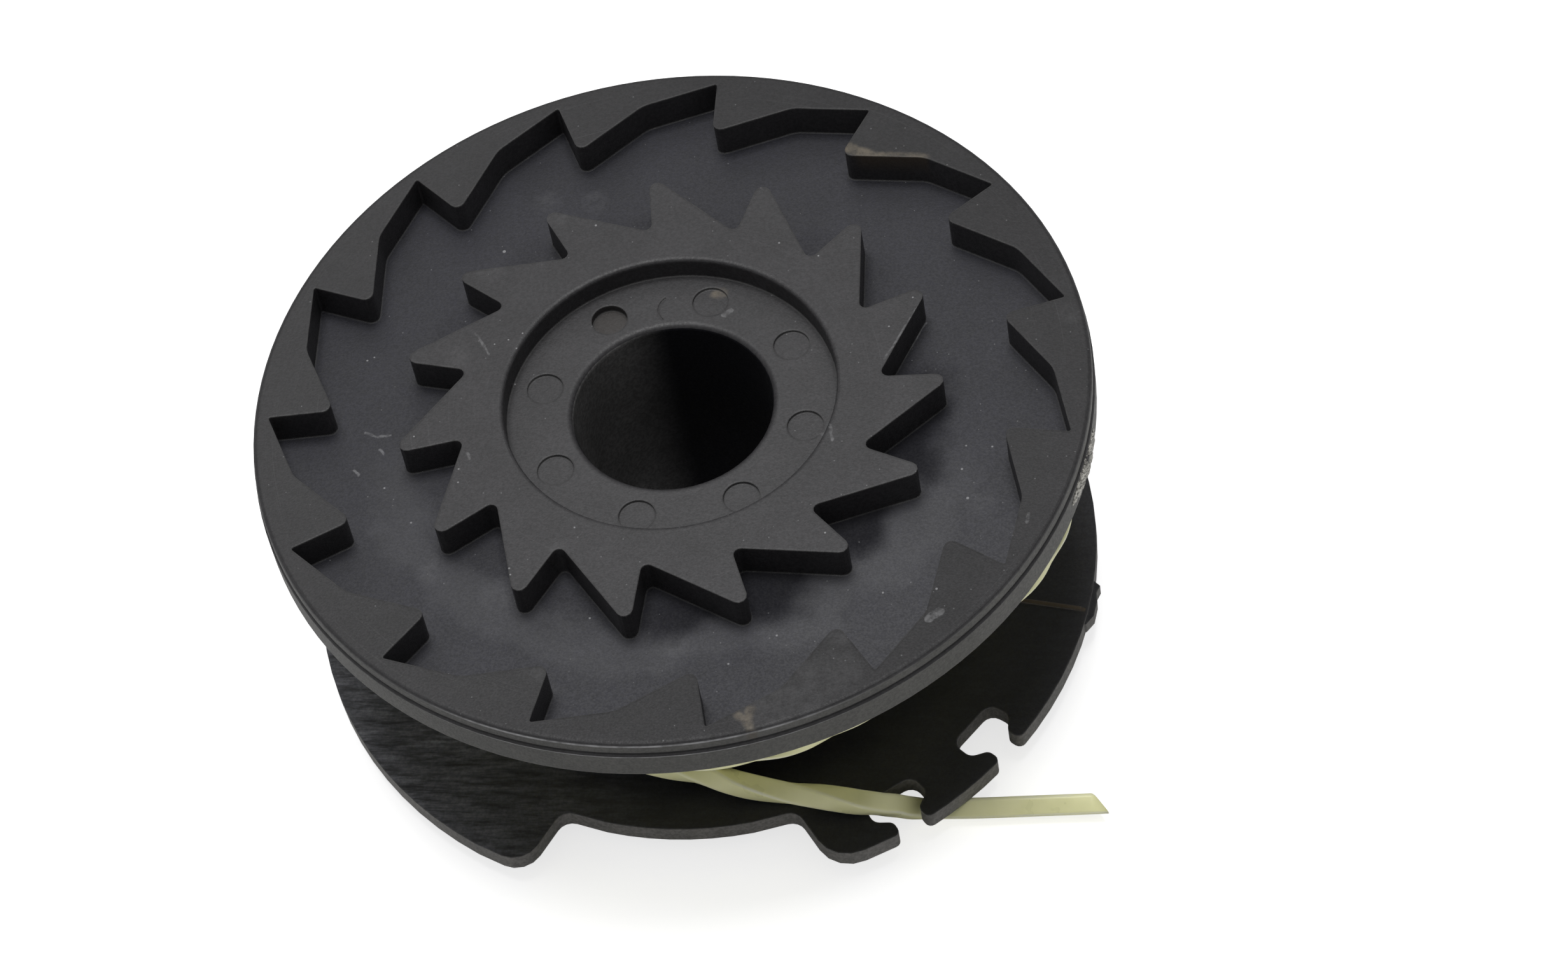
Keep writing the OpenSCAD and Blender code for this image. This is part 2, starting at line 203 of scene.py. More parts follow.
SOIL = [
    [11.64, 23.08, 12.48, 22.64, 0.22], [12.48, 22.64, 13.31, 22.30, 0.24],
    [13.31, 22.30, 17.52, 21.99, 0.10], [7.46, -28.34, 8.12, -28.76, 0.07],
    [8.12, -28.76, 8.45, -29.59, 0.07], [8.45, -29.59, 9.21, -30.32, 0.07],
    [8.31, -27.92, 8.12, -28.76, 0.06], [2.30, 10.62, 2.80, 10.58, 0.12],
]

# How strongly each kind of wear and dirt, and each painted light and shade, covers the plastic,
# from 0 to 1
COVER = {
    "bore_lit_patch": 0.9, "arcs": 0.04, "halo": 0.05, "foot": 0.75, "groove": 0.15, "deep_mark": 0.35,
    "edges": 0.6, "specks": 0.30, "ridge": 0.8, "smudges": 0.055, "scratches": 0.32,
    "grains": 0.6,
}
# What roughness the faces add to the grain's own, and what they take from the specular level
ROUGHER = {"low_top": 0.06, "foot": 0.25, "bore": 0.35, "channel": 0.06}
DULLER = {"star": 0.04, "bore": 0.35, "foot": 0.20, "ring_right": 0.12, "ring_front": 0.07}
SPECULAR = 0.5
CHANNEL_SHINE = 0.08

# Deepest tones: painted shade at the channel's foot and in the rim's groove, and the brown of the
# deep mark
FOOT_SHADE_TONE = (0.002, 0.002, 0.004)
GROOVE_TONE = (0.010, 0.010, 0.010)
MARK_TONE = (0.030, 0.021, 0.012)

# Soft square lamps as (name, its power's setting, size in metres, azimuth, elevation in degrees)
LAMPS = (
    ("lamp_above", "key", 0.35, 105, 83),
    ("lamp_behind", "rear", 0.45, 105, 51),
    ("lamp_left", "side", 0.35, 185, 25),
)
LAMP_AWAY = 0.7
LAMP_AIM = (0.0, 0.0, 0.012)
FLOOR_REACH = 1.5
PAPER = (0.82, 0.82, 0.82)


# ---------------------------------------------------------------- sizes and colours

class SpoolLineSizes(bpy.types.PropertyGroup):
    """Sizes of the twisted line."""

    side: bpy.props.FloatProperty(
        name="Side", description="Side of the line's square section",
        default=1.54 * MM, min=1.0 * MM, max=1.7 * MM, precision=5, unit="LENGTH")
    corner: bpy.props.FloatProperty(
        name="Corner", description="Radius of the section's four corners",
        default=0.30 * MM, min=0.1 * MM, max=0.8 * MM, precision=5, unit="LENGTH")
    twist: bpy.props.FloatProperty(
        name="Twist", description="Length in which the wound line turns round once",
        default=22 * MM, min=5 * MM, max=200 * MM, precision=4, unit="LENGTH")
    ring_step: bpy.props.FloatProperty(
        name="Ring step", description="Distance between two rings of the wound turns",
        default=1.0 * MM, min=0.5 * MM, max=3 * MM, precision=4, unit="LENGTH")
    fine_step: bpy.props.FloatProperty(
        name="Fine step", description="Distance between two rings of the loose turn and end",
        default=0.5 * MM, min=0.2 * MM, max=3 * MM, precision=4, unit="LENGTH")
    layers: bpy.props.IntProperty(
        name="Layers", description="Wound layers on the drum", default=4, min=2, max=4)


class SpoolColours(bpy.types.PropertyGroup):
    """Colours of the two plastics, what lies on them, and the light and shade painted on them."""

    moulding: bpy.props.FloatVectorProperty(
        name="Moulding", description="Black nylon of the spool", subtype="COLOR",
        default=(0.024, 0.023, 0.025), min=0.0, max=1.0)
    channel: bpy.props.FloatVectorProperty(
        name="Channel", description="Smoother floor of the tooth channel", subtype="COLOR",
        default=(0.011, 0.011, 0.017), min=0.0, max=1.0)
    band: bpy.props.FloatVectorProperty(
        name="Rim band", description="Duller outer wall of the top flange", subtype="COLOR",
        default=(0.046, 0.045, 0.041), min=0.0, max=1.0)
    # Paler than the moulding: painted light reflected from the white floor, with some rub
    low_wall: bpy.props.FloatVectorProperty(
        name="Lower wall", description="Rubbed outer wall of the hooked flange", subtype="COLOR",
        default=(0.150, 0.145, 0.138), min=0.0, max=1.0)
    # Darker than the moulding: painted shade under the top flange
    low_flange: bpy.props.FloatVectorProperty(
        name="Lower flange", description="Top face of the hooked flange", subtype="COLOR",
        default=(0.006, 0.006, 0.010), min=0.0, max=1.0)
    # Painted sheen: streaks that stand in for the lower flange's glancing reflection
    streak_sheen: bpy.props.FloatVectorProperty(
        name="Streaks", description="Paler streaks drawn over the hooked flange", subtype="COLOR",
        default=(0.150, 0.153, 0.178), min=0.0, max=1.0)
    # Used for rubbed edges with painted highlights along them, and for the bore's painted light
    # patch
    edge: bpy.props.FloatVectorProperty(
        name="Edges", description="Rubbed edges of the moulding", subtype="COLOR",
        default=(0.115, 0.113, 0.112), min=0.0, max=1.0)
    # Darker than the moulding: painted shade deep in the bore
    bore: bpy.props.FloatVectorProperty(
        name="Bore", description="Polished wall of the bore", subtype="COLOR",
        default=(0.004, 0.004, 0.006), min=0.0, max=1.0)
    torn: bpy.props.FloatVectorProperty(
        name="Torn flash", description="Whitened nylon of the frayed flash", subtype="COLOR",
        default=(0.74, 0.72, 0.66), min=0.0, max=1.0)
    # Also the colour of the painted highlight on the rim's front and of the halo's painted light
    dust: bpy.props.FloatVectorProperty(
        name="Dust", description="Pale dust and rubbed specks", subtype="COLOR",
        default=(0.36, 0.36, 0.37), min=0.0, max=1.0)
    soil: bpy.props.FloatVectorProperty(
        name="Soil", description="Dried tan soil", subtype="COLOR",
        default=(0.21, 0.175, 0.125), min=0.0, max=1.0)
    run: bpy.props.FloatVectorProperty(
        name="Run", description="Brown that the soil left on the walls under it", subtype="COLOR",
        default=(0.075, 0.052, 0.028), min=0.0, max=1.0)
    line: bpy.props.FloatVectorProperty(
        name="Line", description="Translucent nylon of the line", subtype="COLOR",
        default=(0.97, 0.95, 0.55), min=0.0, max=1.0)
    line_deep: bpy.props.FloatVectorProperty(
        name="Line, deep", description="Olive of its thicker body", subtype="COLOR",
        default=(0.70, 0.71, 0.33), min=0.0, max=1.0)
    # Painted highlight along the line's corners
    line_corner_highlight: bpy.props.FloatVectorProperty(
        name="Line, corners", description="Whitish rub along its corners", subtype="COLOR",
        default=(0.96, 0.95, 0.80), min=0.0, max=1.0)


class SpoolStudio(bpy.types.PropertyGroup):
    """Camera and lamps."""

    lens: bpy.props.FloatProperty(
        name="Lens", description="Focal length on a 36 mm sensor", default=98.70,
        min=20, max=300, subtype="DISTANCE_CAMERA")
    place: bpy.props.FloatVectorProperty(
        name="Place", description="Where the camera stands", subtype="TRANSLATION",
        default=(0.051712, -0.189484, 0.269066), precision=5)
    turn: bpy.props.FloatVectorProperty(
        name="Turn", description="How the camera is turned", subtype="EULER",
        default=(math.radians(36.770), math.radians(6.672), math.radians(4.382)))
    key: bpy.props.FloatProperty(
        name="Key lamp", description="Power of the large soft lamp overhead", default=3.1,
        min=0, unit="POWER")
    rear: bpy.props.FloatProperty(
        name="Rear lamp", description="Power of the soft lamp behind", default=0.40, min=0,
        unit="POWER")
    side: bpy.props.FloatProperty(
        name="Side lamp", description="Power of the low lamp at the left", default=0.15, min=0,
        unit="POWER")
    ambient: bpy.props.FloatProperty(
        name="Ambient", description="Strength of the light from all round", default=0.30,
        min=0, max=1)
    paper_glow: bpy.props.FloatProperty(
        name="Paper glow", description="White that the camera sees on the floor",
        default=0.7, min=0, max=1)


# ---------------------------------------------------------------- shader wiring

class Wiring:
    """Adds nodes to one material and joins them.

    A number, colour or vector given for a socket is set on the socket itself.
    """

    def __init__(self, material):
        material.use_nodes = True
        self.tree = material.node_tree
        self.tree.nodes.clear()

    def node(self, kind, values=(), **settings):
        """A node of one kind, with its settings, and its inputs set or joined."""
        made = self.tree.nodes.new(kind)
        for name, value in settings.items():
            setattr(made, name, value)
        for key, value in dict(values).items():
            self.feed(made.inputs[key], value)
        return made

    def feed(self, socket, value):
        """Joins an output to a socket, or sets the socket's own value."""
        if isinstance(value, bpy.types.NodeSocket):
            self.tree.links.new(value, socket)
        elif hasattr(value, "__len__") and len(value) == 3 and socket.type == "RGBA":
            socket.default_value = (*value, 1.0)
        else:
            socket.default_value = value

    def math(self, operation, a, b=None, c=None, clamp=False):
        """One number from up to three."""
        values = {i: v for i, v in enumerate((a, b, c)) if v is not None}
        return self.node("ShaderNodeMath", values, operation=operation,
                         use_clamp=clamp).outputs[0]

    def add(self, a, b):
        """a + b."""
        return self.math("ADD", a, b)

    def less(self, a, b):
        """a - b."""
        return self.math("SUBTRACT", a, b)

    def mul(self, *values):
        """The product of two or more numbers."""
        made = values[0]
        for value in values[1:]:
            made = self.math("MULTIPLY", made, value)
        return made

    def vector(self, operation, a, b=None):
        """One vector from two, or a distance or length as a number."""
        values = {i: v for i, v in enumerate((a, b)) if v is not None}
        made = self.node("ShaderNodeVectorMath", values, operation=operation)
        return made.outputs[1 if operation in ("LENGTH", "DISTANCE", "DOT_PRODUCT") else 0]

    def scaled(self, vector, scale):
        """A vector or colour times one number."""
        return self.node("ShaderNodeVectorMath", {0: vector, "Scale": scale},
                         operation="SCALE").outputs[0]

    def millimetres(self, coordinates):
        """Places on the object in mm."""
        return self.vector("MULTIPLY", coordinates.outputs["Object"], (1 / MM, 1 / MM, 1 / MM))

    def noise(self, at, size, detail=2.0, rough=0.5, stretch=None):
        """Smooth noise from 0 to 1 whose patches are about size mm across."""
        if stretch is not None:
            at = self.vector("MULTIPLY", at, stretch)
        return self.node("ShaderNodeTexNoise", {"Vector": at, "Scale": 1.0 / size,
                                                "Detail": detail, "Roughness": rough}).outputs[0]

    def ramp(self, value, low, high, to_low=0.0, to_high=1.0):
        """Value carried from low..high to to_low..to_high along an S curve."""
        return self.node("ShaderNodeMapRange", {"Value": value, "From Min": low,
                                                "From Max": high, "To Min": to_low,
                                                "To Max": to_high},
                         interpolation_type="SMOOTHSTEP").outputs[0]

    def fall(self, value, low, high):
        """1 up to low, falling to 0 at high."""
        return self.ramp(value, low, high, 1.0, 0.0)

    def band(self, value, low, high, soft):
        """1 between low and high, falling to 0 within soft on either side."""
        return self.mul(self.ramp(value, low - soft, low), self.fall(value, high, high + soft))

    def stroke_gap(self, at, start, end):
        """Distance to a straight stroke: its nearest point is start + t (end - start).

        The share t is (at - start) . (end - start) / |end - start|^2, held from 0 to 1.
        """
        along = tuple(b - a for a, b in zip(start, end))
        away = self.vector("SUBTRACT", at, start)
        share = self.math("MULTIPLY", self.vector("DOT_PRODUCT", away, along),
                          1.0 / sum(v * v for v in along), clamp=True)
        return self.vector("DISTANCE", away, self.scaled(along, share))

    def traces(self, at, spots=(), strokes=(), soft=0.06):
        """1 on every listed spot and stroke, falling to 0 over the soft edge."""
        gaps = [self.less(self.vector("DISTANCE", at, (x, y, 0.0)), r) for x, y, r in spots]
        gaps += [self.less(self.stroke_gap(at, (a, b, 0.0), (c, d, 0.0)), half)
                 for a, b, c, d, half in strokes]
        nearest = gaps[0]
        for gap in gaps[1:]:
            nearest = self.math("MINIMUM", nearest, gap)
        return self.fall(nearest, 0.0, soft)

    def mix(self, share, a, b):
        """Colour a with a share of colour b laid over it."""
        made = self.node("ShaderNodeMix", data_type="RGBA", clamp_factor=True)
        self.feed(made.inputs[0], share)
        self.feed(made.inputs[6], a)
        self.feed(made.inputs[7], b)
        return made.outputs[2]

    def lay(self, base, colour, *shares):
        """A colour laid over the base by the product of several shares."""
        return self.mix(self.mul(*shares), base, colour)

    def pick(self, *masks):
        """The greatest of several masks."""
        best = masks[0]
        for mask in masks[1:]:
            best = self.math("MAXIMUM", best, mask)
        return best


def polar(radius, angle, height=0.0):
    """Point at a radius and an angle in degrees: x = r cos a, y = r sin a."""
    a = math.radians(angle)
    return (radius * math.cos(a), radius * math.sin(a), height)


# ---------------------------------------------------------------- plastics

class Faces:
    """Masks of the moulding's faces, from each point's place and the way its face looks."""

    def __init__(self, w):
        coordinates = w.node("ShaderNodeTexCoord")
        self.at = w.millimetres(coordinates)
        self.x, self.y, self.z = w.node("ShaderNodeSeparateXYZ", {0: self.at}).outputs
        self.flat = w.vector("MULTIPLY", self.at, (1.0, 1.0, 0.0))
        self.radius = w.vector("LENGTH", self.flat)
        up = w.node("ShaderNodeSeparateXYZ", {0: coordinates.outputs["Normal"]}).outputs[2]
        self.level = w.ramp(up, *LEVEL_NORMAL)
        self.steep = w.fall(w.math("ABSOLUTE", up), *WALL_NORMAL)
        self.top = w.mul(self.level, w.ramp(self.z, *TOP_ABOVE))
        self.ring = w.mul(self.top, w.ramp(self.radius, *RING_BEYOND))
        self.channel = w.mul(self.level, w.band(self.z, *CHANNEL_BETWEEN, soft=0.1),
                             w.ramp(self.radius, *CHANNEL_BEYOND))
        self.recess = w.mul(self.level, w.ramp(self.z, *RECESS_ABOVE),
                            w.fall(self.radius, *RECESS_WITHIN))
        self.upper = w.ramp(self.z, *UPPER_ABOVE)
        self.rim = w.mul(self.steep, w.ramp(self.radius, *RIM_BEYOND), w.ramp(self.z, *RIM_ABOVE))
        low = w.fall(self.z, *LOW_BELOW)
        self.low_top = w.mul(self.level, low, w.ramp(self.radius, *LOW_TOP_BEYOND))
        self.low_wall = w.mul(self.steep, low, w.ramp(self.radius, *LOW_WALL_BEYOND))
        self.bore = w.mul(w.fall(self.radius, *BORE_WITHIN), self.steep)
        self.w = w

    def towards(self, angle):
        """Cosine of the angle at the axis between a point and a direction in degrees."""
        along = self.w.vector("DOT_PRODUCT", self.flat, polar(1.0, angle))
        return self.w.math("DIVIDE", along, self.radius)


def rounded_edges(w, radius, samples=6):
    """The normal rounded near edges, and a mask of them from 1 - n_round . n_face."""
    rounded = w.node("ShaderNodeBevel", {"Radius": radius}, samples=samples).outputs[0]
    plain = w.node("ShaderNodeNewGeometry").outputs["Normal"]
    lean = w.less(1.0, w.vector("DOT_PRODUCT", rounded, plain))
    return rounded, w.ramp(lean, low=0.01, high=0.12)


def face_colours(w, f, colours):
    """Each face's colour with painted shade and light; the band pales to the right, the bore's
    wall to the left.
    """
    base = w.mix(f.channel, colours.moulding, colours.channel)
    base = w.scaled(base, w.ramp(f.ring, 0.0, 1.0, to_low=1.0, to_high=0.62))
    band = w.scaled(colours.band, w.ramp(f.x, -20.0, 20.0, to_low=0.7, to_high=1.3))
    base = w.mix(f.rim, base, band)
    # Painted shade on the lower flange's top
    base = w.mix(f.low_top, base, colours.low_flange)
    # Painted floor light and rub on the lower flange's outer wall
    base = w.mix(f.low_wall, base, colours.low_wall)
    # Painted shade: the bore's wall darker than the rest of the moulding
    base = w.mix(f.bore, base, colours.bore)
    # Painted light: a pale patch, in the edges' colour, on the bore's wall towards its left
    reach = w.vector("DOT_PRODUCT", f.flat, polar(1.0, BORE_LIT_AT))
    return w.lay(base, colours.edge, f.bore, w.ramp(reach, *BORE_LIT_REACH), COVER["bore_lit_patch"])


def flange_streaks_and_sheen(w, f, base, colours):
    """Fine streaks along X drawn over the lower flange, with a painted sheen paler at the left."""
    streak_sheen = w.noise(f.at, size=1.0, detail=4.0, rough=0.65, stretch=(0.35, 2.4, 1.0))
    # Painted sheen: the streaks grow paler towards the left
    left = w.fall(f.x, -26.0, 2.0)
    share = w.add(0.04, w.mul(left, 0.96))
    return w.lay(base, colours.streak_sheen, w.ramp(streak_sheen, low=0.25, high=0.8), f.low_top, share)


def clouding(w, f, base, colours):
    """Slow mottling and fine speckle and, on the teeth, faint arcs drawn round the axis."""
    slow = w.noise(f.at, size=4.0, detail=4.0, rough=0.6)
    fine = w.noise(f.at, size=0.28, detail=2.0, rough=0.7)
    mottle = w.ramp(slow, 0.3, 0.7, to_low=0.86, to_high=1.14)
    speckle = w.ramp(fine, 0.35, 0.65, to_low=0.80, to_high=1.25)
    base = w.scaled(base, w.mul(mottle, speckle))
    turn = w.math("ARCTAN2", f.y, f.x)
    round_axis = w.node("ShaderNodeCombineXYZ", {0: w.mul(f.radius, 9.0), 1: w.mul(turn, 1.2)})
    arcs = w.ramp(w.noise(round_axis.outputs[0], size=1.0), low=0.62, high=0.75)
    return w.lay(base, colours.dust, arcs, f.top, COVER["arcs"])


def channel_halo_and_shade(w, f, base, colours):
    """Pale halo round the star, part rub and part painted light; painted shade at its teeth's
    foot.

    Also gives the foot's mask, which the gloss follows.
    """
    front = w.fall(w.math("DIVIDE", f.y, f.radius), -0.5, 0.0)
    wander = w.ramp(w.noise(f.at, size=5.0), 0.2, 0.8, to_low=-1.6, to_high=1.6)
    edge = w.add(f.radius, wander)
    # Halo: pale band round the star on the near side, partly rubbed by the pawls and partly
    # painted light
    halo = w.mul(w.band(edge, 19.8, 22.0, soft=2.0), front, f.channel)
    near_right = w.ramp(f.towards(NEAR_RIGHT), 0.3, 0.95, to_low=0.15, to_high=1.0)
    # Painted shade: the channel's floor darkened at the foot of the star's teeth, most at the near
    # right
    foot = w.mul(w.fall(edge, 17.8, 21.2), near_right, f.channel)
    base = w.lay(base, colours.dust, halo, COVER["halo"])
    return w.lay(base, FOOT_SHADE_TONE, foot, COVER["foot"]), foot


def hollow_shades(w, f, base):
    """Shade in the groove round the rim, and brown in the deep moulding mark."""
    groove = w.band(f.z, *GROOVE_BETWEEN, soft=0.06)
    base = w.lay(base, GROOVE_TONE, f.rim, groove, COVER["groove"])
    deep = w.fall(w.vector("DISTANCE", f.flat, DEEP_MARK), *DEEP_MARK_WITHIN)
    sunk = w.fall(f.z, RECESS_Z - 0.1, RECESS_Z)
    return w.lay(base, MARK_TONE, deep, sunk, COVER["deep_mark"])


def specks(w, f, base, colours):
    """Fine dust on the level faces: one speck in some of the cells, in more at the right."""
    cells = w.node("ShaderNodeTexVoronoi", {"Vector": f.at, "Scale": 1.5, "Randomness": 1.0})
    draw = w.node("ShaderNodeSeparateColor", {0: cells.outputs["Color"]}).outputs[0]
    right = w.add(f.x, w.mul(f.y, -0.45))
    least = w.ramp(right, -6.0, 24.0, to_low=0.80, to_high=0.52)
    chosen = w.math("GREATER_THAN", draw, least)
    dot = w.fall(cells.outputs["Distance"], 0.04, 0.11)
    level = w.pick(f.top, f.channel, f.recess)
    return w.lay(base, colours.dust, dot, chosen, level, COVER["specks"])


def rim_highlight_and_ridge(w, f, base, patchy_rub_and_sheen, colours):
    """Painted highlight on the rim's rounding and lip, most of all in front, and the brown parting
    ridge.
    """
    rounding = w.mul(w.band(f.radius, *ROUNDING_BETWEEN, soft=0.05),
                     w.ramp(f.z, *ROUNDING_ABOVE))
    lip = w.mul(f.rim, w.band(f.z, *LIP_BETWEEN, soft=0.05))
    front = w.ramp(w.math("DIVIDE", f.y, f.radius), -0.99, -0.84, to_low=1.0, to_high=0.14)
    # Painted highlight: the rim's rounding and lip paled in front, in the dust colour
    base = w.lay(base, colours.dust, w.pick(rounding, lip), front, patchy_rub_and_sheen)
    stroke = (*polar(PARTING_FROM_R, PARTING_AT)[:2], *polar(PARTING_TO_R, PARTING_AT)[:2], 0.10)
    ridge = w.traces(f.flat, strokes=[stroke], soft=0.15)
    low = w.math("LESS_THAN", f.z, 4.2)
    return w.lay(base, colours.run, ridge, low, COVER["ridge"])


def listed_marks(w, f, base, colours):
    """The listed smudges, scratches, soil and grains; noise bends all but the grains."""
    ragged = w.node("ShaderNodeTexNoise", {"Vector": f.at, "Scale": 1.8, "Detail": 3.0})
    centred = w.vector("SUBTRACT", ragged.outputs["Color"], (0.5, 0.5, 0.5))
    bend = w.vector("MULTIPLY", centred, (0.35, 0.35, 0.0))
    bent = w.vector("ADD", f.flat, bend)
    patchy = w.ramp(w.noise(f.at, size=0.9, detail=4.0, rough=0.7), low=0.3, high=0.65)

    smudges = w.traces(bent, spots=SMUDGES, soft=1.2)
    base = w.lay(base, colours.dust, smudges, f.upper, patchy, COVER["smudges"])
    scratches = w.traces(bent, strokes=SCRATCHES, soft=0.09)
    base = w.lay(base, colours.dust, scratches, f.upper, patchy, f.level, COVER["scratches"])
    soil = w.traces(bent, strokes=SOIL, soft=0.45)
    thick = w.add(0.14, w.mul(patchy, 0.38))
    base = w.lay(base, colours.soil, soil, w.pick(f.top, f.recess), thick)
    down = w.ramp(f.z, CHANNEL_Z + 0.6, TOP_Z, to_low=0.0, to_high=0.45)
    base = w.lay(base, colours.run, soil, f.steep, down)
    halved = [(x, y, 0.5 * width) for x, y, width in GRAINS]
    grains = w.traces(f.flat, spots=halved, soft=0.05)
    return w.lay(base, colours.dust, grains, f.level, f.upper, COVER["grains"])


def moulding_gloss(w, f, foot, grain):
    """Roughness and specular level of the satin plastic, face by face."""
    rough = w.ramp(grain, 0.3, 0.7, to_low=0.44, to_high=0.58)
    for mask, more in ((f.low_top, "low_top"), (foot, "foot"), (f.bore, "bore"),
                       (f.channel, "channel")):
        rough = w.add(rough, w.mul(mask, ROUGHER[more]))
    to_right = w.ramp(f.x, -26.0, 10.0)
    front = w.fall(w.math("DIVIDE", f.y, f.radius), -0.7, -0.2)
    shine = SPECULAR
    for mask, cut in ((w.mul(f.ring, to_right), "ring_right"), (w.less(f.top, f.ring), "star"),
                      (f.bore, "bore"), (foot, "foot"), (w.mul(f.ring, front), "ring_front")):
        shine = w.less(shine, w.mul(mask, DULLER[cut]))
    near_right = w.ramp(f.towards(NEAR_RIGHT), low=0.84, high=0.97)
    return rough, w.add(shine, w.mul(near_right, f.channel, CHANNEL_SHINE))


def moulding_material(colours):
    """Satin black nylon, painted with light and shade, rubbed at its edges, scuffed and dusty
    where the spool has run.
    """
    material = bpy.data.materials.new("moulded_black_nylon")
    w = Wiring(material)
    f = Faces(w)
    base = face_colours(w, f, colours)
    base = flange_streaks_and_sheen(w, f, base, colours)
    base = clouding(w, f, base, colours)
    base, foot = channel_halo_and_shade(w, f, base, colours)
    base = hollow_shades(w, f, base)
    rounded, edges = rounded_edges(w, 0.22 * MM)
    patches = w.noise(f.at, size=1.1, detail=3.0, rough=0.6)
    patchy_rub_and_sheen = w.ramp(patches, 0.25, 0.7, to_low=0.25, to_high=1.0)
    # Painted highlight along all edges, partly rub, made patchy
    base = w.lay(base, colours.edge, edges, patchy_rub_and_sheen, COVER["edges"])
    base = specks(w, f, base, colours)
    base = rim_highlight_and_ridge(w, f, base, patchy_rub_and_sheen, colours)
    base = listed_marks(w, f, base, colours)
    grain = w.noise(f.at, size=0.16, detail=2.0, rough=0.6)
    rough, shine = moulding_gloss(w, f, foot, grain)
    bump = w.node("ShaderNodeBump", {"Height": grain, "Strength": 0.30, "Distance": 0.04 * MM,
                                     "Normal": rounded})
    shader = w.node("ShaderNodeBsdfPrincipled", {
        "Base Color": base, "Roughness": rough, "Specular IOR Level": shine,
        "Normal": bump.outputs[0]})
    w.node("ShaderNodeOutputMaterial", {0: shader.outputs[0]})
    return material


def line_material(colours):
    """Translucent pale nylon: olive in its body, with a whitish painted highlight along its
    corners.
    """
    material = bpy.data.materials.new("twisted_nylon_line")
    w = Wiring(material)
    corner = w.node("ShaderNodeAttribute", attribute_name="corner").outputs["Fac"]
    at = w.millimetres(w.node("ShaderNodeTexCoord"))
    cloud = w.ramp(w.noise(at, size=2.6, detail=3.0), low=0.35, high=0.75)
    base = w.lay(colours.line, colours.line_deep, cloud, 0.32)
    # Painted highlight: the corners paled towards whitish
    rubbed = w.ramp(corner, low=0.45, high=1.0)
    uneven = w.ramp(cloud, 0.0, 1.0, to_low=0.3, to_high=0.8)
    base = w.lay(base, colours.line_corner_highlight, rubbed, uneven)
    rough = w.ramp(cloud, 0.0, 1.0, to_low=0.38, to_high=0.26)
    shader = w.node("ShaderNodeBsdfPrincipled", {
        "Base Color": base, "Roughness": rough, "IOR": 1.53,
        "Transmission Weight": 0.04, "Subsurface Weight": 0.12,
        "Subsurface Radius": (1.0, 1.0, 0.5), "Subsurface Scale": 0.35 * MM})
    w.node("ShaderNodeOutputMaterial", {0: shader.outputs[0]})
    return material


# ---------------------------------------------------------------- the line

def smooth_path(points, steps):
    """Catmull-Rom curve through points, with steps points per span.

    Between p1 and p2 at share t it is half of 2 p1 + (p2 - p0) t
    + (2 p0 - 5 p1 + 4 p2 - p3) t^2 + (3 p1 - p0 - 3 p2 + p3) t^3.
    """
    p = np.asarray(points, float)
    p = np.vstack([2 * p[0] - p[1], p, 2 * p[-1] - p[-2]])
    t = np.linspace(0, 1, steps, endpoint=False)[None, :, None]
    p0, p1, p2, p3 = (p[i:len(p) - 3 + i, None, :] for i in range(4))
    curve = 0.5 * (2 * p1 + (p2 - p0) * t + (2 * p0 - 5 * p1 + 4 * p2 - p3) * t ** 2
                   + (3 * p1 - p0 - 3 * p2 + p3) * t ** 3)
    return np.vstack([curve.reshape(-1, 3), p[-2]])


def ring_points(radius, angle, height):
    """Arrays of radius, angle in degrees and height as x = r cos a, y = r sin a, z."""
    a = np.radians(angle)
    return np.column_stack([radius * np.cos(a), radius * np.sin(a), height])


def wound_layers(layers):
    """The wound turns in mm: each layer climbs or falls by one line's width a turn.

    At total angle a the height runs to and fro between the two flanges as a triangle wave, and
    the radius grows by one layer over the sixth of a turn round each reversal. The last
    crossing runs back over the winding to the height at which the loose turn begins.
    """
    per_mm = 360.0 / WIND_CLIMB
    starts = [WIND_START]
    heights = [HOLE_Z]
    for k in range(layers):
        goal = WIND_HIGH if k % 2 == 0 else WIND_LOW
        starts.append(starts[-1] + abs(goal - heights[-1]) * per_mm)
        heights.append(goal)
    last = FIRST_LAYER_R + LAYER_STEP * (layers - 1)
    turns = math.ceil((starts[-1] + CROSS_LEAST - CROSS_END_AT) / 360.0)
    cross_end = turns * 360.0 + CROSS_END_AT
    angle = np.arange(starts[0], cross_end, WIND_SPACING)
    height = np.interp(angle, starts + [cross_end], heights + [CROSS_Z])
    grow_at = [v for s in starts[1:-1] for v in (s - GROW_BEFORE, s + GROW_AFTER)]
    grow_to = [FIRST_LAYER_R + LAYER_STEP * (i // 2 + i % 2) for i in range(len(grow_at))]
    grow_at += [starts[-1], starts[-1] + LAST_GROW, cross_end]
    grow_to += [last, last + LAYER_STEP, last + LAYER_STEP + CROSS_LIFT]
    return ring_points(np.interp(angle, grow_at, grow_to), angle, height)


